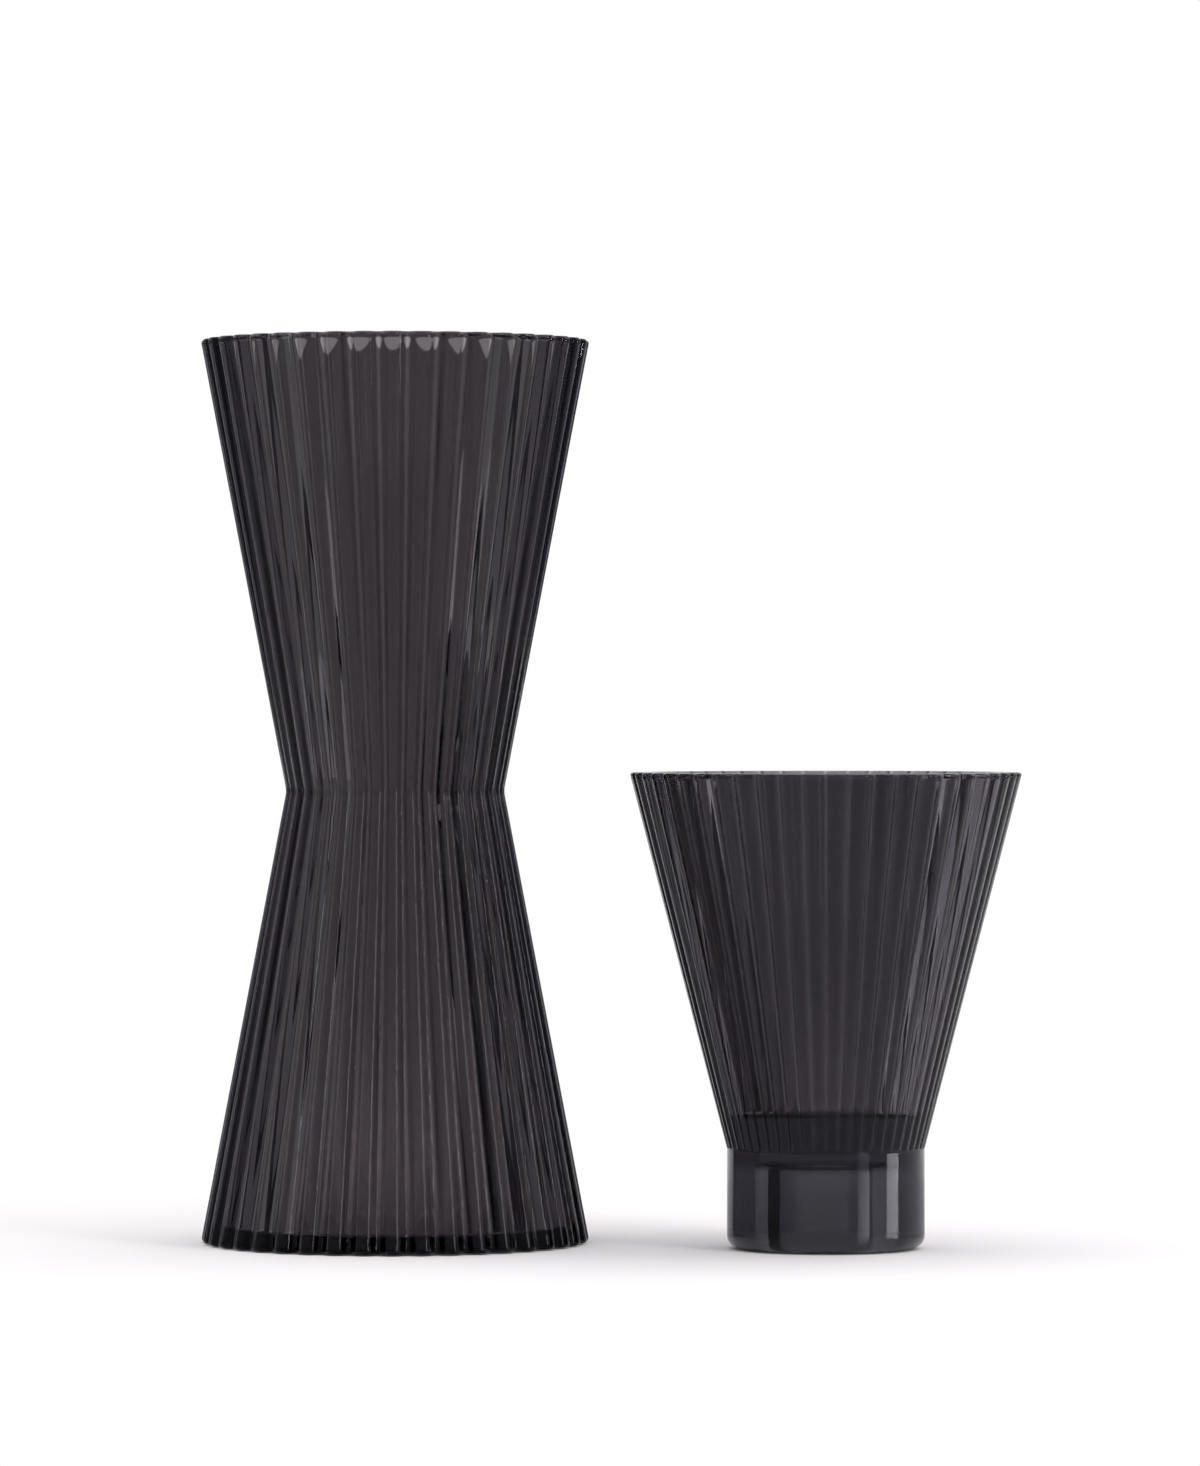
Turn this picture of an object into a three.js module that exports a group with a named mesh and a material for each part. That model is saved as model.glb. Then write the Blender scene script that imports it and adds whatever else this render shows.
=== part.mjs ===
// Decanter set in smoked ribbed glass: an hourglass carafe, and a footed tumbler that stands beside it.
// Sizes are in millimetres, +Z is up, and the origin is on the table midway between the two pieces.
import * as THREE from "three";
import { mergeVertices } from "three/addons/utils/BufferGeometryUtils.js";

// Carafe: two ribbed cones that meet in a crisp waist, measured over the crests of the ribs
const CARAFE_HEIGHT = 232;
const CARAFE_RIM_DIAMETER = 100;
const CARAFE_WAIST_DIAMETER = 56;
const CARAFE_WAIST_HEIGHT = 116;
const CARAFE_BASE_DIAMETER = 100;
const CARAFE_BASE_EDGE = 1.2;
const CARAFE_WALL = 7;
const CARAFE_FLOOR = 3.6;
const CARAFE_FLOOR_CORNER = 1;
const CARAFE_LIP_EDGE = 0.8;

// Carafe ribs: rounded ribs with rounded valleys between them, from the lip down to the table
const CARAFE_RIBS = 40;
const CARAFE_RIB_DEPTH = 2.6;
const CARAFE_RIB_SHARE = 0.7;
const CARAFE_RIB_TURN = 0.9;

// Tumbler: a ribbed cone on a plain round foot that is hollow from below
const TUMBLER_HEIGHT = 121;
const TUMBLER_RIM_DIAMETER = 100;
const TUMBLER_WALL = 7;
const TUMBLER_SLAB = 12.4;
const TUMBLER_FLOOR_CORNER = 2;
const TUMBLER_LIP_EDGE = 0.8;
const FOOT_DIAMETER = 50.4;
const FOOT_HEIGHT = 25.3;
const FOOT_EDGE = 3.2;
const FOOT_SEAM = 0.5;
const HOLLOW_DIAMETER = 24.2;
const HOLLOW_DEPTH = 22;
const HOLLOW_CORNER = 1.5;
const HOLLOW_LIP = 3;

// Tumbler ribs: wide rounded ribs with a narrow valley between them
const TUMBLER_RIBS = 50;
const TUMBLER_RIB_DEPTH = 1.2;
const TUMBLER_RIB_SHARE = 0.85;
const TUMBLER_RIB_TURN = 2;

// The tumbler stands to the right of the carafe and a little in front of it
const AXIS_SPACING = 110.2;
const AXIS_STAGGER = 20;

// How finely the round forms are divided
const ROUNDING_STEPS = 2;
const RIB_SHOULDER = 0.7;

const SMOKED_GLASS = { color: 0x38333a, roughness: 0.06, metalness: 0 };

// A corner of an outline: its distance from the axis, its height, how far its rounding reaches along
// each side, and whether the ribs cut into it.
function corner(radius, height, { edge = 0, ribbed = false } = {}) {
  return { at: new THREE.Vector2(radius, height), edge, ribbed };
}

// The same outline with each rounded corner drawn as a short curve.
function rounded(corners) {
  return corners.flatMap(({ at, edge, ribbed }, i) => {
    if (edge === 0) return [{ at, ribbed }];
    const start = corners[i - 1].at.clone().sub(at).setLength(edge).add(at);
    const end = corners[i + 1].at.clone().sub(at).setLength(edge).add(at);
    const curve = new THREE.QuadraticBezierCurve(start, at, end);
    return curve.getPoints(ROUNDING_STEPS).map((point) => ({ at: point, ribbed }));
  });
}

// How much of the rib depth is cut away at a place across one rib, from -0.5 to 0.5 of the pitch with
// the crest at 0: a round crest runs into a round valley with no corner between them.
function valleyCut(place, ribShare) {
  const fromCrest = Math.abs(place);
  const halfRib = ribShare / 2;
  const halfValley = 0.5 - halfRib;
  if (fromCrest <= halfRib) return ribShare * (fromCrest / halfRib) ** 2;
  return 1 - (1 - ribShare) * ((0.5 - fromCrest) / halfValley) ** 2;
}

// The upright lines that the ribs are drawn on: four to each rib, with an angle from the front of the
// piece, towards +X, and the share of the radius that is cut away there.
function ribLines({ count, depth, outerDiameter, share, turn }) {
  const shoulder = (RIB_SHOULDER * share) / 2;
  const places = [-shoulder, 0, shoulder, 0.5];
  const depthShare = depth / (outerDiameter / 2);
  const lines = [];
  for (let rib = 0; rib < count; rib += 1) {
    for (const place of places) {
      lines.push({
        angle: THREE.MathUtils.degToRad(turn) + ((rib + place) / count) * 2 * Math.PI,
        cut: depthShare * valleyCut(place, share),
      });
    }
  }
  return lines;
}

// An outline turned round the upright axis, with the ribs cut into its ribbed points in proportion to
// their distance from the axis.
function turnedGlass(outline, lines) {
  const geometry = new THREE.LatheGeometry(
    outline.map(({ at }) => at),
    lines.length,
  );
  const position = geometry.getAttribute("position");
  for (let column = 0; column <= lines.length; column += 1) {
    const { angle, cut } = lines[column % lines.length];
    outline.forEach(({ at, ribbed }, row) => {
      const radius = ribbed ? at.x * (1 - cut) : at.x;
      const vertex = column * outline.length + row;
      position.setXYZ(vertex, radius * Math.sin(angle), at.y, radius * Math.cos(angle));
    });
  }
  geometry.rotateX(Math.PI / 2);
  geometry.deleteAttribute("normal");
  geometry.deleteAttribute("uv");
  const closed = mergeVertices(geometry);
  closed.computeVertexNormals();
  return closed;
}

// Radius of a straight cone at a height between its two ends.
function coneRadius(height, low, high) {
  return THREE.MathUtils.mapLinear(height, low.height, high.height, low.radius, high.radius);
}

function makeCarafe() {
  const base = { height: 0, radius: CARAFE_BASE_DIAMETER / 2 };
  const waist = { height: CARAFE_WAIST_HEIGHT, radius: CARAFE_WAIST_DIAMETER / 2 };
  const rim = { height: CARAFE_HEIGHT, radius: CARAFE_RIM_DIAMETER / 2 };
  const floorRadius = coneRadius(CARAFE_FLOOR, base, waist) - CARAFE_WALL;
  const outline = rounded([
    corner(0, base.height),
    corner(base.radius, base.height, { edge: CARAFE_BASE_EDGE, ribbed: true }),
    corner(waist.radius, waist.height, { ribbed: true }),
    corner(rim.radius, rim.height, { edge: CARAFE_LIP_EDGE, ribbed: true }),
    corner(rim.radius - CARAFE_WALL, rim.height, { edge: CARAFE_LIP_EDGE }),
    corner(waist.radius - CARAFE_WALL, waist.height),
    corner(floorRadius, CARAFE_FLOOR, { edge: CARAFE_FLOOR_CORNER }),
    corner(0, CARAFE_FLOOR),
  ]);
  const lines = ribLines({
    count: CARAFE_RIBS,
    depth: CARAFE_RIB_DEPTH,
    outerDiameter: CARAFE_RIM_DIAMETER,
    share: CARAFE_RIB_SHARE,
    turn: CARAFE_RIB_TURN,
  });
  const carafe = new THREE.Mesh(
    turnedGlass(outline, lines),
    new THREE.MeshStandardMaterial(SMOKED_GLASS),
  );
  carafe.name = "carafe";
  carafe.position.set(-AXIS_SPACING / 2, AXIS_STAGGER / 2, 0);
  return carafe;
}

function makeTumbler() {
  const seam = { height: FOOT_HEIGHT, radius: FOOT_DIAMETER / 2 };
  const rim = { height: TUMBLER_HEIGHT, radius: TUMBLER_RIM_DIAMETER / 2 };
  const ribStart = FOOT_HEIGHT + FOOT_SEAM;
  const hollowRadius = HOLLOW_DIAMETER / 2;
  const floorHeight = HOLLOW_DEPTH + TUMBLER_SLAB;
  const floorRadius = coneRadius(floorHeight, seam, rim) - TUMBLER_WALL;
  const outline = rounded([
    corner(0, HOLLOW_DEPTH),
    corner(hollowRadius, HOLLOW_DEPTH, { edge: HOLLOW_CORNER }),
    corner(hollowRadius, 0, { edge: HOLLOW_LIP }),
    corner(seam.radius, 0, { edge: FOOT_EDGE }),
    corner(seam.radius, seam.height),
    corner(coneRadius(ribStart, seam, rim), ribStart, { ribbed: true }),
    corner(rim.radius, rim.height, { edge: TUMBLER_LIP_EDGE, ribbed: true }),
    corner(rim.radius - TUMBLER_WALL, rim.height, { edge: TUMBLER_LIP_EDGE }),
    corner(floorRadius, floorHeight, { edge: TUMBLER_FLOOR_CORNER }),
    corner(0, floorHeight),
  ]);
  const lines = ribLines({
    count: TUMBLER_RIBS,
    depth: TUMBLER_RIB_DEPTH,
    outerDiameter: TUMBLER_RIM_DIAMETER,
    share: TUMBLER_RIB_SHARE,
    turn: TUMBLER_RIB_TURN,
  });
  const tumbler = new THREE.Mesh(
    turnedGlass(outline, lines),
    new THREE.MeshStandardMaterial(SMOKED_GLASS),
  );
  tumbler.name = "tumbler";
  tumbler.position.set(AXIS_SPACING / 2, -AXIS_STAGGER / 2, 0);
  return tumbler;
}

const decanterSet = new THREE.Group();
decanterSet.name = "decanter_set";
decanterSet.add(makeCarafe(), makeTumbler());

export default decanterSet;
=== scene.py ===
"""Decanter set in smoked ribbed glass: an hourglass carafe and a footed tumbler on a pale studio floor."""

import math

import bmesh
import bpy
from bpy.props import FloatProperty, FloatVectorProperty, IntProperty, PointerProperty
from mathutils import Matrix, Vector


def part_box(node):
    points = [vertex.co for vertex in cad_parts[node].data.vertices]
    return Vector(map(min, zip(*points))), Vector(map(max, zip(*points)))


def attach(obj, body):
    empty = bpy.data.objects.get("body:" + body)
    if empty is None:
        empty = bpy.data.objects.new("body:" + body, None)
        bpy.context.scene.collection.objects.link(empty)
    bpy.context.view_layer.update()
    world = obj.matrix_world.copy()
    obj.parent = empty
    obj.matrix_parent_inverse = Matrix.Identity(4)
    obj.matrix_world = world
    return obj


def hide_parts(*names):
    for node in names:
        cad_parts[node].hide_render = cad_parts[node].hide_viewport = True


bl_info = {
    "name": "Ribbed decanter set",
    "version": (1, 0, 0),
    "blender": (4, 5, 0),
    "location": "View3D > Sidebar > Decanter",
    "description": "Makes a smoked ribbed glass carafe and tumbler on a studio floor",
    "category": "Object",
}

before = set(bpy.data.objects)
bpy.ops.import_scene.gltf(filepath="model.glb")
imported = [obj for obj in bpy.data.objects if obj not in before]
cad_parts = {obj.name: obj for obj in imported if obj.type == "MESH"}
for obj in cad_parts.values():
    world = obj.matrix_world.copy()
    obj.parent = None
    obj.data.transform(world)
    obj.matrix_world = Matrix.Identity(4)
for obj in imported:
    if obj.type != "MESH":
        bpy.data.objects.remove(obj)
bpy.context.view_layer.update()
CARAFE_LOW, CARAFE_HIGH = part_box("carafe")
TUMBLER_LOW, TUMBLER_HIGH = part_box("tumbler")

# Farthest that a support ring lies from a rounded corner: it keeps the straight walls' shading straight
SUPPORT = 0.0005
MERGE_DISTANCE = 1e-7
# Part of the pitch over which the painted highlight, a lighter line along each valley, fades out, to each
# side
GROOVE_HIGHLIGHT_FADE = 0.08
# Heights, from the top of the foot, between which the foot's skin gives way to the cup's
FOOT_BLEND = (-0.003, -0.0005)
# Noise values between which the polish goes from clear to hazy
HAZE_RANGE = (0.4, 0.75)
# Distances before and behind the set between which lit paper turns into plain white
PAPER_CLEAR = (0.12, 0.45)
# Distances behind the set between which the white in the glass dims, and what is left of it
BACKDROP_FADE = (0.4, 1.6)
BACKDROP_DIM = 0.6
# Sines of the angles of rise between which the room's dim horizon turns into its pale ceiling
CEILING_RISE = (0.05, 0.35)


def length(name, description, default):
    """A size in metres for a sidebar field."""
    return FloatProperty(name=name, description=description, default=default, precision=5, unit="LENGTH")


class CarafeSizes(bpy.types.PropertyGroup):
    """Sizes of the carafe, over the crests of its ribs."""

    height: length("Height", "Table to lip", CARAFE_HIGH.z - CARAFE_LOW.z)
    rim_radius: length("Rim radius", "Axis to the crest of a rib at the lip", 0.05)
    waist_radius: length("Waist radius", "Axis to the crest of a rib at the waist", 0.028)
    waist_height: length("Waist height", "Table to the crease between the two cones", 0.116)
    base_radius: length("Base radius", "Axis to the crest of a rib at the table", 0.05)
    wall: length("Wall", "Crest of a rib to the smooth inner wall, measured level", 0.007)
    floor: length("Floor", "Thickness of the base", 0.0036)
    base_edge: length("Base edge", "Rounding where the wall meets the table", 0.0012)
    lip_edge: length("Lip edge", "Rounding of both edges of the lip", 0.001)
    waist_edge: length("Waist edge", "Rounding of the crease outside", 0.001)
    inner_waist_edge: length("Inner waist edge", "Rounding of the crease inside", 0.004)
    floor_corner: length("Floor corner", "Rounding where the inner wall meets the floor", 0.001)
    rib_count: IntProperty(name="Ribs", description="Ribs round the carafe", default=40)
    rib_steps: IntProperty(name="Rib steps", description="Divisions across one rib", default=20)
    rib_depth: length("Rib depth", "Crest to valley at the lip", 0.0026)
    rib_share: FloatProperty(name="Rib share", description="Part of the pitch that is convex", default=0.7)
    rib_turn: FloatProperty(
        name="Rib turn", description="Turn of the front rib", default=math.radians(0.9), subtype="ANGLE"
    )


class TumblerSizes(bpy.types.PropertyGroup):
    """Sizes of the tumbler, over the crests of its ribs."""

    height: length("Height", "Table to lip", TUMBLER_HIGH.z - TUMBLER_LOW.z)
    rim_radius: length("Rim radius", "Axis to the crest of a rib at the lip", 0.05)
    wall: length("Wall", "Crest of a rib to the smooth inner wall, measured level", 0.007)
    slab: length("Slab", "Glass between the drink and the hollow of the foot", 0.0124)
    lip_edge: length("Lip edge", "Rounding of both edges of the lip", 0.001)
    floor_corner: length("Floor corner", "Rounding where the inner wall meets the floor", 0.002)
    foot_radius: length("Foot radius", "Axis to the outside of the foot", 0.0252)
    foot_height: length("Foot height", "Table to the seam under the ribs", 0.0253)
    foot_edge: length("Foot edge", "Rounding where the foot meets the table", 0.0032)
    foot_seam: length("Foot seam", "Height of the step between the foot and the ribs", 0.0005)
    seam_edge: length("Seam edge", "Rounding of both edges of that step", 0.00018)
    hollow_radius: length("Hollow radius", "Axis to the wall of the hollow in the foot", 0.0121)
    hollow_depth: length("Hollow depth", "Table to the ceiling of the hollow", 0.022)
    hollow_corner: length("Hollow corner", "Rounding round the hollow's ceiling", 0.0015)
    hollow_lip: length("Hollow lip", "Rounding of the hollow's mouth", 0.003)
    rib_count: IntProperty(name="Ribs", description="Ribs round the tumbler", default=50)
    rib_steps: IntProperty(name="Rib steps", description="Divisions across one rib", default=16)
    rib_depth: length("Rib depth", "Crest to valley at the lip", 0.0012)
    rib_share: FloatProperty(name="Rib share", description="Part of the pitch that is convex", default=0.85)
    rib_turn: FloatProperty(
        name="Rib turn", description="Turn of the front rib", default=math.radians(2.0), subtype="ANGLE"
    )


class GlassLook(bpy.types.PropertyGroup):
    """Colour and finish of the smoked glass."""

    tint: FloatVectorProperty(
        name="Tint", description="Light that the glass lets through", subtype="COLOR", size=3,
        default=(0.38, 0.39, 0.43), min=0.0, max=1.0,
    )
    carafe_density: FloatProperty(
        name="Carafe smoke", description="Depth of the smoke in the carafe's glass, per metre", default=165.0
    )
    tumbler_density: FloatProperty(
        name="Tumbler smoke", description="Depth of the smoke in the tumbler's glass, per metre", default=90.0
    )
    carafe_skin: FloatVectorProperty(
        name="Carafe skin", description="Light that each face of the carafe's walls lets through",
        subtype="COLOR", size=3, default=(0.515, 0.465, 0.467), min=0.0, max=1.0,
    )
    tumbler_skin: FloatVectorProperty(
        name="Tumbler skin", description="Light that each face of the tumbler's walls lets through",
        subtype="COLOR", size=3, default=(0.257, 0.237, 0.257), min=0.0, max=1.0,
    )
    foot_skin: FloatVectorProperty(
        name="Foot skin", description="Light that each face of the tumbler's foot lets through",
        subtype="COLOR", size=3, default=(0.475, 0.47, 0.485), min=0.0, max=1.0,
    )
    # Painted highlight: the lighter colour of the thin light line painted along each valley
    groove_highlight: FloatVectorProperty(
        name="Groove", description="Light that the thin line along each valley lets through",
        subtype="COLOR", size=3, default=(0.97, 0.95, 0.97), min=0.0, max=1.0,
    )
    gloss: FloatVectorProperty(
        name="Gloss", description="Strength and colour of the reflections seen square on", subtype="COLOR",
        size=3, default=(0.24, 0.23, 0.27), min=0.0, max=1.0,
    )
    ior: FloatProperty(name="Index", description="Refractive index of the glass", default=1.5)


class StageLook(bpy.types.PropertyGroup):
    """Size of the picture, and the place and lens of the camera."""

    photo_width: IntProperty(name="Width", description="Width of the picture in pixels", default=1200)
    photo_height: IntProperty(name="Height", description="Height of the picture in pixels", default=1466)
    focal_pixels: FloatProperty(name="Focal length", description="In pixels of the picture", default=7500.0)
    camera_distance: length("Camera distance", "Camera to the middle of the set", 1.92)
    camera_height: length("Camera height", "Camera above the table", 0.138)
    camera_side: length("Camera side", "Camera to the right of the middle, or left below zero", -0.0024)
    horizon_row: FloatProperty(name="Horizon", description="Row of the picture at eye level", default=705.5)


def arc_depth(distance, half_width, slope):
    """Fall of a round arc at a distance from its crest, where it ends at half_width with that slope."""
    radius = half_width / math.sin(slope)
    return radius - math.sqrt(radius * radius - distance * distance)


def rib_cut(place, share, depth, pitch):
    """How far the glass lies below the crest line at a place across a rib, from -0.5 to 0.5 of the pitch."""
    half_rib = share * pitch / 2
    half_valley = pitch / 2 - half_rib
    slope = 2 * math.atan(depth / (half_rib + half_valley))
    offset = min(abs(place), 0.5) * pitch
    if offset <= half_rib:
        return arc_depth(offset, half_rib, slope)
    return depth - arc_depth(pitch / 2 - offset, half_valley, slope)


def draw_outline(bm, corners, ribbed):
    """Draws half of a cross-section as a line of edges and rounds its corners.

    A corner is its radius, height, rounding, rounding segments and whether the ribs cut into it.
    """
    points = [Vector((radius, 0.0, height)) for radius, height, _edge, _segments, _ribs in corners]
    line, rounds = [], []
    for i, (_radius, _height, edge, segments, ribs) in enumerate(corners):
        at = points[i]
        near = []
        if edge > 0:
            for n in (i - 1, i + 1):
                side = points[n] - at
                spare = (side.length - edge - corners[n][2]) / 3
                near.append(at + side.normalized() * (edge + min(SUPPORT, spare)))
        for point in [*near[:1], at, *near[1:]]:
            vert = bm.verts.new(point)
            vert[ribbed] = 1.0 if ribs else 0.0
            line.append(vert)
            if point is at and edge > 0:
                rounds.append((vert, edge, segments))
    for start, end in zip(line, line[1:]):
        bm.edges.new((start, end))
    for vert, edge, segments in rounds:
        bmesh.ops.bevel(
            bm, geom=[vert], offset=edge, offset_type="OFFSET", affect="VERTICES",
            segments=segments, profile=0.5, material=-1,
        )


def turn_glass(name, corners, sizes, axis):
    """Turns an outline through one rib, cuts the rib into it, and repeats it round the upright axis."""
    bm = bmesh.new()
    ribbed = bm.verts.layers.float.new("ribbed")
    # Mask for the painted highlight along the valleys
    groove_highlight = bm.verts.layers.float.new("groove_highlight")
    draw_outline(bm, corners, ribbed)
    pitch_angle = 2 * math.pi / sizes.rib_count
    pitch = pitch_angle * sizes.rim_radius
    centre = Vector((0.0, 0.0, 0.0))
    up = Vector((0.0, 0.0, 1.0))
    bmesh.ops.spin(
        bm, geom=bm.verts[:] + bm.edges[:], cent=centre, axis=up, angle=pitch_angle, steps=sizes.rib_steps,
        use_merge=False, use_duplicate=False,
    )
    for vert in bm.verts:
        place = math.atan2(vert.co.y, vert.co.x) / pitch_angle - 0.5
        cut = rib_cut(place, sizes.rib_share, sizes.rib_depth, pitch) / sizes.rim_radius
        # Painted highlight: a mask along the middle of each valley, where the skin is later tinted lighter
        vert[groove_highlight] = vert[ribbed] * max(0.0, 1.0 - (0.5 - min(abs(place), 0.5)) / GROOVE_HIGHLIGHT_FADE)
        kept = 1.0 - vert[ribbed] * cut
        vert.co.x *= kept
        vert.co.y *= kept
    front = sizes.rib_turn - math.pi / 2 - pitch_angle / 2
    bmesh.ops.rotate(bm, cent=centre, matrix=Matrix.Rotation(front, 3, "Z"), verts=bm.verts[:])
    bmesh.ops.spin(
        bm, geom=bm.verts[:] + bm.edges[:] + bm.faces[:], cent=centre, axis=up,
        angle=2 * math.pi - pitch_angle, steps=sizes.rib_count - 1, use_merge=False, use_duplicate=True,
    )
    bmesh.ops.remove_doubles(bm, verts=bm.verts[:], dist=MERGE_DISTANCE)
    bmesh.ops.recalc_face_normals(bm, faces=bm.faces[:])
    bmesh.ops.translate(bm, vec=axis, verts=bm.verts[:])
    for face in bm.faces:
        face.smooth = True
    mesh = bpy.data.meshes.new(name)
    bm.to_mesh(mesh)
    bm.free()
    piece = bpy.data.objects.new(name, mesh)
    bpy.context.scene.collection.objects.link(piece)
    return piece


def add_math(tree, operation, first, second=None):
    """The result of a math node fed by one or two sockets."""
    node = tree.nodes.new("ShaderNodeMath")
    node.operation = operation
    tree.links.new(first, node.inputs[0])
    if second is not None:
        tree.links.new(second, node.inputs[1])
    return node.outputs["Value"]


def add_ramp(tree, value, span, low=0.0, high=1.0, smooth=False):
    """A map range node: it goes from low to high while a socket's value runs through the span."""
    node = tree.nodes.new("ShaderNodeMapRange")
    node.interpolation_type = "SMOOTHSTEP" if smooth else "LINEAR"
    node.inputs["From Min"].default_value = span[0]
    node.inputs["From Max"].default_value = span[1]
    node.inputs["To Min"].default_value = low
    node.inputs["To Max"].default_value = high
    tree.links.new(value, node.inputs["Value"])
    return node


def add_color_mix(tree, factor=None, blend="MIX"):
    """A colour mix node, with its factor fed by a socket if there is one."""
    node = tree.nodes.new("ShaderNodeMix")
    node.data_type = "RGBA"
    node.blend_type = blend
    if factor is not None:
        tree.links.new(factor, node.inputs["Factor"])
    return node


def glass_surface_group():
    """Node group for the skin of moulded glass.

    It gives slow waves, a trace of polish haze, and a tint that drifts and that may change at the foot. Along
    the valleys between the ribs it paints a highlight: the tint turns lighter there, in a thin light line.
    """
    name = "moulded glass skin"
    if name in bpy.data.node_groups:
        return bpy.data.node_groups[name]
    group = bpy.data.node_groups.new(name, "ShaderNodeTree")
    face = group.interface
    for tint in ("Tint", "Foot Tint", "Groove Tint"):
        socket = face.new_socket(tint, in_out="INPUT", socket_type="NodeSocketColor")
        socket.default_value = (1.0, 1.0, 1.0, 1.0)
    for value, default in (("Foot Top", 0.0), ("Wave Scale", 60.0), ("Haze Low", 0.0), ("Haze High", 0.015)):
        socket = face.new_socket(value, in_out="INPUT", socket_type="NodeSocketFloat")
        socket.default_value = default
    face.new_socket("Color", in_out="OUTPUT", socket_type="NodeSocketColor")
    face.new_socket("Roughness", in_out="OUTPUT", socket_type="NodeSocketFloat")
    face.new_socket("Height", in_out="OUTPUT", socket_type="NodeSocketFloat")
    nodes, links = group.nodes, group.links
    inputs = nodes.new("NodeGroupInput")
    outputs = nodes.new("NodeGroupOutput")
    place = nodes.new("ShaderNodeTexCoord")
    wave = nodes.new("ShaderNodeTexNoise")
    wave.inputs["Detail"].default_value = 1.0
    links.new(place.outputs["Object"], wave.inputs["Vector"])
    links.new(inputs.outputs["Wave Scale"], wave.inputs["Scale"])
    links.new(wave.outputs["Fac"], outputs.inputs["Height"])
    haze = nodes.new("ShaderNodeTexNoise")
    haze.inputs["Scale"].default_value = 35.0
    haze.inputs["Detail"].default_value = 5.0
    links.new(place.outputs["Object"], haze.inputs["Vector"])
    spread = add_ramp(group, haze.outputs["Fac"], HAZE_RANGE)
    links.new(inputs.outputs["Haze Low"], spread.inputs["To Min"])
    links.new(inputs.outputs["Haze High"], spread.inputs["To Max"])
    links.new(spread.outputs["Result"], outputs.inputs["Roughness"])
    parts = nodes.new("ShaderNodeSeparateXYZ")
    links.new(place.outputs["Object"], parts.inputs["Vector"])
    above = add_math(group, "SUBTRACT", parts.outputs["Z"], inputs.outputs["Foot Top"])
    body = add_ramp(group, above, FOOT_BLEND, smooth=True)
    part_tint = add_color_mix(group, body.outputs["Result"])
    links.new(inputs.outputs["Foot Tint"], part_tint.inputs["A"])
    links.new(inputs.outputs["Tint"], part_tint.inputs["B"])
    drift = nodes.new("ShaderNodeValToRGB")
    drift.color_ramp.elements[0].color = (0.96, 0.94, 0.96, 1.0)
    drift.color_ramp.elements[1].color = (1.0, 1.0, 1.0, 1.0)
    links.new(wave.outputs["Fac"], drift.inputs["Fac"])
    tinted = add_color_mix(group, blend="MULTIPLY")
    tinted.inputs["Factor"].default_value = 1.0
    links.new(part_tint.outputs["Result"], tinted.inputs["A"])
    links.new(drift.outputs["Color"], tinted.inputs["B"])
    # Painted highlight: along each valley the colour turns to the lighter groove tint, painting a thin light
    # line
    groove_highlight = nodes.new("ShaderNodeAttribute")
    groove_highlight.attribute_name = "groove_highlight"
    highlight_mix = add_color_mix(group, groove_highlight.outputs["Fac"])
    links.new(tinted.outputs["Result"], highlight_mix.inputs["A"])
    links.new(inputs.outputs["Groove Tint"], highlight_mix.inputs["B"])
    links.new(highlight_mix.outputs["Result"], outputs.inputs["Color"])
    return group


def smoked_glass(name, skin_color, foot_color, foot_top, density, look):
    """Smoked glass whose body takes up light with thickness, and whose skin takes up some at each face.

    The foot's own skin colour holds below foot_top.
    """
    material = bpy.data.materials.new(name)
    material.use_nodes = True
    nodes, links = material.node_tree.nodes, material.node_tree.links
    glass = nodes["Principled BSDF"]
    output = nodes["Material Output"]
    glass.inputs["Metallic"].default_value = 0.0
    glass.inputs["IOR"].default_value = look.ior
    glass.inputs["Transmission Weight"].default_value = 1.0
    glass.inputs["Specular Tint"].default_value = (*look.gloss, 1.0)
    skin = nodes.new("ShaderNodeGroup")
    skin.node_tree = glass_surface_group()
    skin.inputs["Tint"].default_value = (*skin_color, 1.0)
    skin.inputs["Foot Tint"].default_value = (*foot_color, 1.0)
    skin.inputs["Foot Top"].default_value = foot_top
    # Painted highlight: the lighter colour painted along the valleys
    skin.inputs["Groove Tint"].default_value = (*look.groove_highlight, 1.0)
    links.new(skin.outputs["Color"], glass.inputs["Base Color"])
    links.new(skin.outputs["Roughness"], glass.inputs["Roughness"])
    bump = nodes.new("ShaderNodeBump")
    bump.inputs["Strength"].default_value = 0.05
    bump.inputs["Distance"].default_value = 0.0003
    links.new(skin.outputs["Height"], bump.inputs["Height"])
    links.new(bump.outputs["Normal"], glass.inputs["Normal"])
    smoke = nodes.new("ShaderNodeVolumeAbsorption")
    smoke.inputs["Color"].default_value = (*look.tint, 1.0)
    smoke.inputs["Density"].default_value = density
    links.new(smoke.outputs["Volume"], output.inputs["Volume"])
    return material


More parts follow.
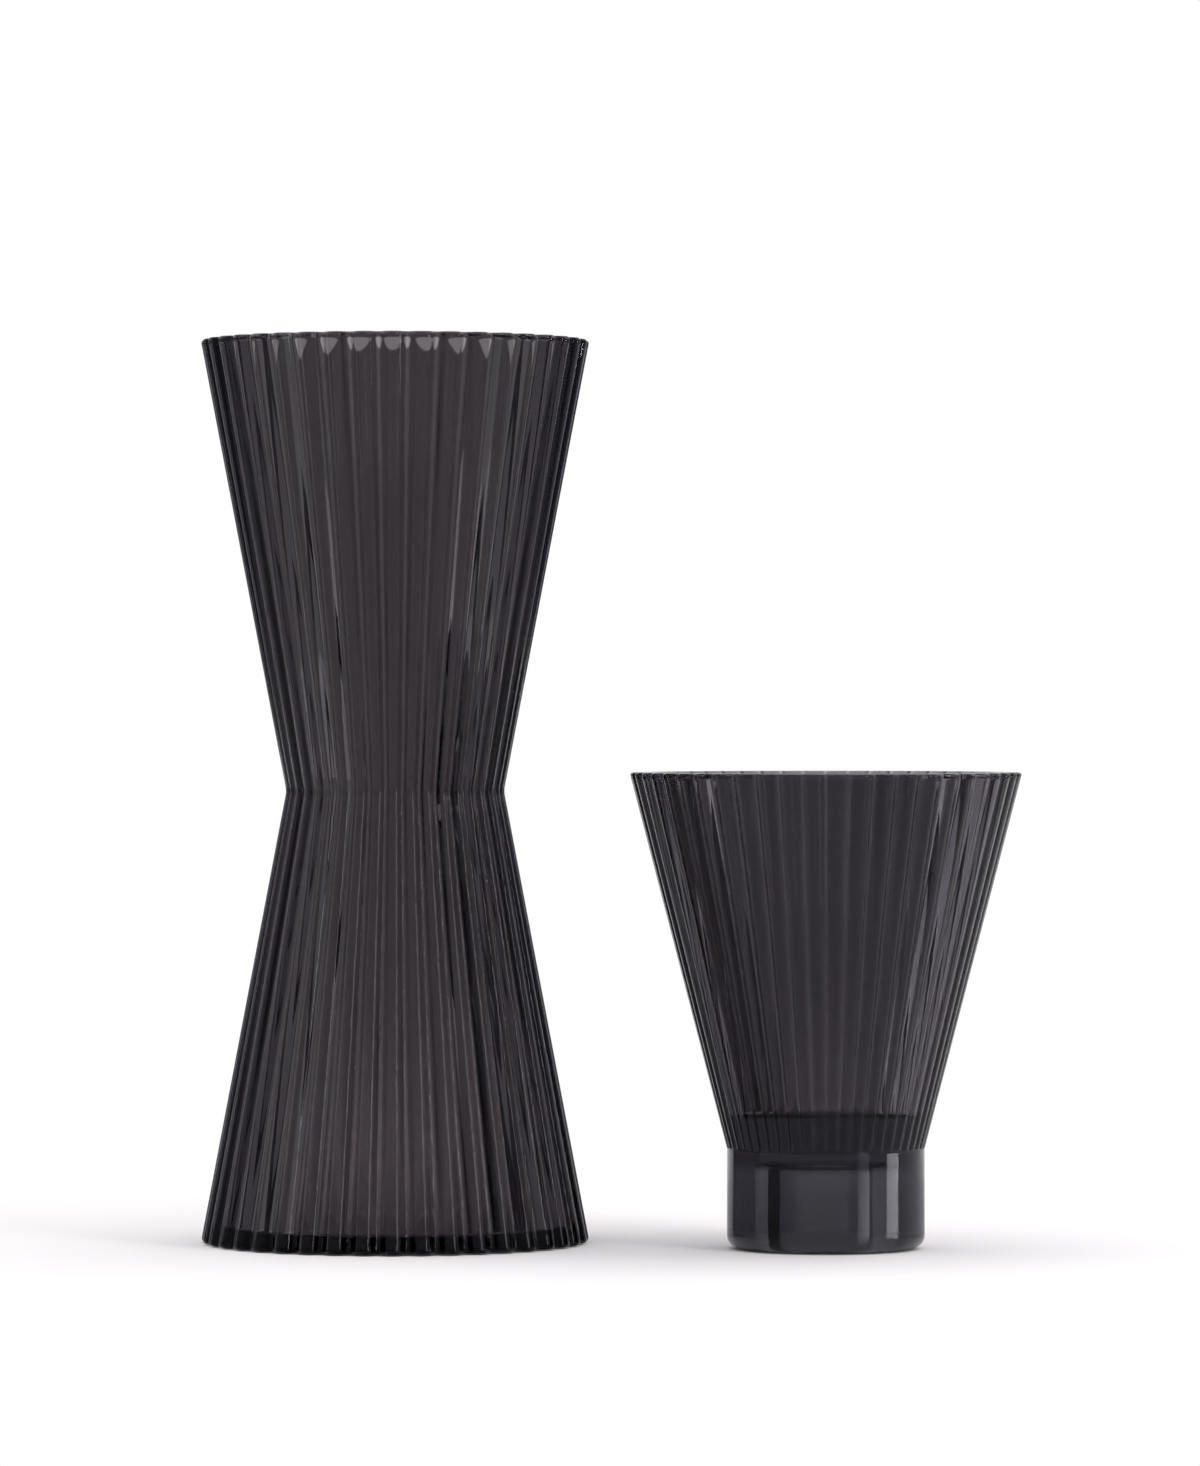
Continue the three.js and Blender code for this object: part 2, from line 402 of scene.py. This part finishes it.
class DECANTER_OT_carafe(bpy.types.Operator):
    """Make the hourglass carafe in the place of its CAD node"""

    bl_idname = "decanter.carafe"
    bl_label = "Carafe"

    def execute(self, context):
        s = context.scene.decanter_carafe
        slope = (s.base_radius - s.waist_radius) / s.waist_height
        floor_radius = s.base_radius - slope * s.floor - s.wall
        corners = [
            (0.0, 0.0, 0.0, 0, False),
            (s.base_radius, 0.0, s.base_edge, 5, True),
            (s.waist_radius, s.waist_height, s.waist_edge, 4, True),
            (s.rim_radius, s.height, s.lip_edge, 6, True),
            (s.rim_radius - s.wall, s.height, s.lip_edge, 6, False),
            (s.waist_radius - s.wall, s.waist_height, s.inner_waist_edge, 6, False),
            (floor_radius, s.floor, s.floor_corner, 8, False),
            (0.0, s.floor, 0.0, 0, False),
        ]
        middle = (CARAFE_LOW + CARAFE_HIGH) / 2
        piece = turn_glass("carafe_glass_body", corners, s, Vector((middle.x, middle.y, CARAFE_LOW.z)))
        look = context.scene.decanter_glass
        skin = look.carafe_skin
        glass = smoked_glass("smoked carafe glass", skin, skin, 0.0, look.carafe_density, look)
        piece.data.materials.append(glass)
        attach(piece, "carafe")
        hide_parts("carafe")
        return {"FINISHED"}


class DECANTER_OT_tumbler(bpy.types.Operator):
    """Make the footed tumbler in the place of its CAD node"""

    bl_idname = "decanter.tumbler"
    bl_label = "Tumbler"

    def execute(self, context):
        s = context.scene.decanter_tumbler
        slope = (s.rim_radius - s.foot_radius) / (s.height - s.foot_height)
        rib_start = s.foot_height + s.foot_seam
        rib_radius = s.foot_radius + slope * s.foot_seam
        floor_height = s.hollow_depth + s.slab
        floor_radius = s.foot_radius + slope * (floor_height - s.foot_height) - s.wall
        corners = [
            (0.0, s.hollow_depth, 0.0, 0, False),
            (s.hollow_radius, s.hollow_depth, s.hollow_corner, 6, False),
            (s.hollow_radius, 0.0, s.hollow_lip, 4, False),
            (s.foot_radius, 0.0, s.foot_edge, 8, False),
            (s.foot_radius, s.foot_height, s.seam_edge, 2, False),
            (rib_radius, rib_start, s.seam_edge, 2, True),
            (s.rim_radius, s.height, s.lip_edge, 6, True),
            (s.rim_radius - s.wall, s.height, s.lip_edge, 6, False),
            (floor_radius, floor_height, s.floor_corner, 8, False),
            (0.0, floor_height, 0.0, 0, False),
        ]
        middle = (TUMBLER_LOW + TUMBLER_HIGH) / 2
        piece = turn_glass("tumbler_glass_body", corners, s, Vector((middle.x, middle.y, TUMBLER_LOW.z)))
        look = context.scene.decanter_glass
        glass = smoked_glass(
            "smoked tumbler glass", look.tumbler_skin, look.foot_skin, s.hollow_depth,
            look.tumbler_density, look,
        )
        piece.data.materials.append(glass)
        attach(piece, "tumbler")
        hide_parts("tumbler")
        return {"FINISHED"}


def cove_material():
    """White paper that is lit near the set, and plain white before and behind it for the camera and glass."""
    material = bpy.data.materials.new("white paper")
    material.use_nodes = True
    tree = material.node_tree
    nodes, links = tree.nodes, tree.links
    paper = nodes["Principled BSDF"]
    output = nodes["Material Output"]
    paper.inputs["Base Color"].default_value = (0.9, 0.9, 0.9, 1.0)
    paper.inputs["Roughness"].default_value = 0.9
    paper.inputs["Specular IOR Level"].default_value = 0.0
    place = nodes.new("ShaderNodeTexCoord")
    parts = nodes.new("ShaderNodeSeparateXYZ")
    links.new(place.outputs["Object"], parts.inputs["Vector"])
    away = add_math(tree, "ABSOLUTE", parts.outputs["Y"])
    clear = add_ramp(tree, away, PAPER_CLEAR, smooth=True)
    path = nodes.new("ShaderNodeLightPath")
    seen = add_math(tree, "MAXIMUM", path.outputs["Is Camera Ray"], path.outputs["Is Glossy Ray"])
    seen_through = add_math(tree, "MAXIMUM", seen, path.outputs["Is Transmission Ray"])
    share = add_math(tree, "MULTIPLY", seen_through, clear.outputs["Result"])
    polish = nodes.new("ShaderNodeBsdfPrincipled")
    polish.inputs["Base Color"].default_value = (0.85, 0.85, 0.85, 1.0)
    polish.inputs["Roughness"].default_value = 0.08
    surface = nodes.new("ShaderNodeMixShader")
    links.new(path.outputs["Is Glossy Ray"], surface.inputs["Fac"])
    links.new(paper.outputs["BSDF"], surface.inputs[1])
    links.new(polish.outputs["BSDF"], surface.inputs[2])
    white = nodes.new("ShaderNodeEmission")
    fade = add_ramp(tree, parts.outputs["Y"], BACKDROP_FADE, low=1.0, high=BACKDROP_DIM)
    strength = add_math(tree, "MAXIMUM", fade.outputs["Result"], path.outputs["Is Camera Ray"])
    links.new(strength, white.inputs["Strength"])
    mixed = nodes.new("ShaderNodeMixShader")
    links.new(share, mixed.inputs["Fac"])
    links.new(surface.outputs["Shader"], mixed.inputs[1])
    links.new(white.outputs["Emission"], mixed.inputs[2])
    links.new(mixed.outputs["Shader"], output.inputs["Surface"])
    return material


def make_cove():
    """A sweep of paper: flat under the set, curved up behind it."""
    bm = bmesh.new()
    front, back, top, width, bend = -2.6, 3.4, 3.4, 1.5, 0.9
    # The paper lies a hair under the glass, so that their faces don't coincide
    drop = 0.0003
    line = [bm.verts.new((-width / 2, y, z)) for y, z in ((front, -drop), (back, -drop), (back, top))]
    for start, end in zip(line, line[1:]):
        bm.edges.new((start, end))
    bmesh.ops.bevel(
        bm, geom=[line[1]], offset=bend, offset_type="OFFSET", affect="VERTICES",
        segments=24, profile=0.5, material=-1,
    )
    made = bmesh.ops.extrude_edge_only(bm, edges=bm.edges[:])
    moved = [part for part in made["geom"] if isinstance(part, bmesh.types.BMVert)]
    bmesh.ops.translate(bm, vec=(width, 0.0, 0.0), verts=moved)
    bmesh.ops.recalc_face_normals(bm, faces=bm.faces[:])
    for face in bm.faces:
        face.smooth = True
    mesh = bpy.data.meshes.new("paper_cove")
    bm.to_mesh(mesh)
    bm.free()
    cove = bpy.data.objects.new("paper_cove", mesh)
    bpy.context.scene.collection.objects.link(cove)
    cove.data.materials.append(cove_material())


def make_softbox(name, place, target, width, height, radiance):
    """A rectangular lamp that faces a point: the glass mirrors it, and it doesn't show through the glass."""
    lamp = bpy.data.lights.new(name, "AREA")
    lamp.shape = "RECTANGLE"
    lamp.size = width
    lamp.size_y = height
    lamp.energy = radiance * math.pi * width * height
    softbox = bpy.data.objects.new(name, lamp)
    softbox.location = place
    aim = Vector(target) - Vector(place)
    softbox.rotation_euler = aim.to_track_quat("-Z", "Y").to_euler()
    softbox.visible_transmission = False
    bpy.context.scene.collection.objects.link(softbox)


def make_world():
    """A room with a dim horizon and a pale ceiling, one grey tone through the glass, white to the camera."""
    world = bpy.data.worlds.new("studio room")
    world.use_nodes = True
    tree = world.node_tree
    nodes, links = tree.nodes, tree.links
    direction = nodes.new("ShaderNodeTexCoord")
    parts = nodes.new("ShaderNodeSeparateXYZ")
    links.new(direction.outputs["Generated"], parts.inputs["Vector"])
    rise = add_ramp(tree, parts.outputs["Z"], CEILING_RISE, smooth=True)
    room = add_color_mix(tree, rise.outputs["Result"])
    room.inputs["A"].default_value = (0.3, 0.29, 0.33, 1.0)
    room.inputs["B"].default_value = (0.95, 0.92, 0.94, 1.0)
    path = nodes.new("ShaderNodeLightPath")
    seen = add_color_mix(tree, path.outputs["Is Transmission Ray"])
    seen.inputs["B"].default_value = (0.6, 0.6, 0.6, 1.0)
    links.new(room.outputs["Result"], seen.inputs["A"])
    beyond = add_color_mix(tree, path.outputs["Is Camera Ray"])
    beyond.inputs["B"].default_value = (1.0, 1.0, 1.0, 1.0)
    links.new(seen.outputs["Result"], beyond.inputs["A"])
    links.new(beyond.outputs["Result"], nodes["Background"].inputs["Color"])
    bpy.context.scene.world = world


def make_camera(look):
    """A long lens at the picture's eye level."""
    data = bpy.data.cameras.new("camera")
    data.sensor_width = 36.0
    data.lens = look.focal_pixels / look.photo_height * data.sensor_width
    data.clip_end = 50.0
    camera = bpy.data.objects.new("camera", data)
    camera.location = (look.camera_side, -look.camera_distance, look.camera_height)
    tilt = math.atan((look.horizon_row - look.photo_height / 2) / look.focal_pixels)
    camera.rotation_euler = (math.pi / 2 + tilt, 0.0, 0.0)
    bpy.context.scene.collection.objects.link(camera)
    bpy.context.scene.camera = camera


class DECANTER_OT_stage(bpy.types.Operator):
    """Set the floor, the lamps, the room and the camera"""

    bl_idname = "decanter.stage"
    bl_label = "Stage"

    def execute(self, context):
        make_cove()
        make_softbox(
            "top_softbox", place=(0.0, 0.25, 1.5), target=(0.0, 0.15, 0.0),
            width=1.6, height=1.2, radiance=1.1,
        )
        make_softbox(
            "front_strip", place=(0.8, -0.84, 0.45), target=(-0.055, 0.01, 0.08),
            width=0.3, height=0.9, radiance=6.0,
        )
        make_softbox(
            "right_strip", place=(1.2, -0.17, 0.055), target=(0.055, -0.01, 0.055),
            width=0.36, height=0.08, radiance=12.0,
        )
        make_softbox(
            "left_strip", place=(-1.0, 0.1, 0.3), target=(-0.05, 0.0, 0.12),
            width=0.3, height=0.9, radiance=0.8,
        )
        make_world()
        make_camera(context.scene.decanter_stage)
        scene = context.scene
        scene.view_settings.view_transform = "Standard"
        scene.cycles.max_bounces = 32
        scene.cycles.transmission_bounces = 32
        scene.cycles.glossy_bounces = 16
        return {"FINISHED"}


class DECANTER_PT_set(bpy.types.Panel):
    """Lists the pieces of the decanter set and their sizes"""

    bl_idname = "DECANTER_PT_set"
    bl_label = "Decanter set"
    bl_space_type = "VIEW_3D"
    bl_region_type = "UI"
    bl_category = "Decanter"

    def draw(self, context):
        for operator, group in PIECES:
            self.layout.operator(operator.bl_idname)
            self.list_settings(getattr(context.scene, group))
        self.layout.label(text="Glass")
        self.list_settings(context.scene.decanter_glass)

    def list_settings(self, settings):
        """Shows the fields of one group of settings."""
        column = self.layout.column(align=True)
        for name in settings.__annotations__:
            column.prop(settings, name)


SETTINGS = {
    "decanter_carafe": CarafeSizes,
    "decanter_tumbler": TumblerSizes,
    "decanter_glass": GlassLook,
    "decanter_stage": StageLook,
}
PIECES = (
    (DECANTER_OT_carafe, "decanter_carafe"),
    (DECANTER_OT_tumbler, "decanter_tumbler"),
    (DECANTER_OT_stage, "decanter_stage"),
)
CLASSES = (*SETTINGS.values(), *(operator for operator, _group in PIECES), DECANTER_PT_set)


def register():
    """Registers the classes and hangs the settings on the scene."""
    for cls in CLASSES:
        bpy.utils.register_class(cls)
    for name, cls in SETTINGS.items():
        setattr(bpy.types.Scene, name, PointerProperty(type=cls))


def unregister():
    """Takes the settings off the scene and unregisters the classes."""
    for name in SETTINGS:
        delattr(bpy.types.Scene, name)
    for cls in reversed(CLASSES):
        bpy.utils.unregister_class(cls)


def main():
    register()
    bpy.ops.decanter.carafe()
    bpy.ops.decanter.tumbler()
    bpy.ops.decanter.stage()


if __name__ == "__main__":
    main()
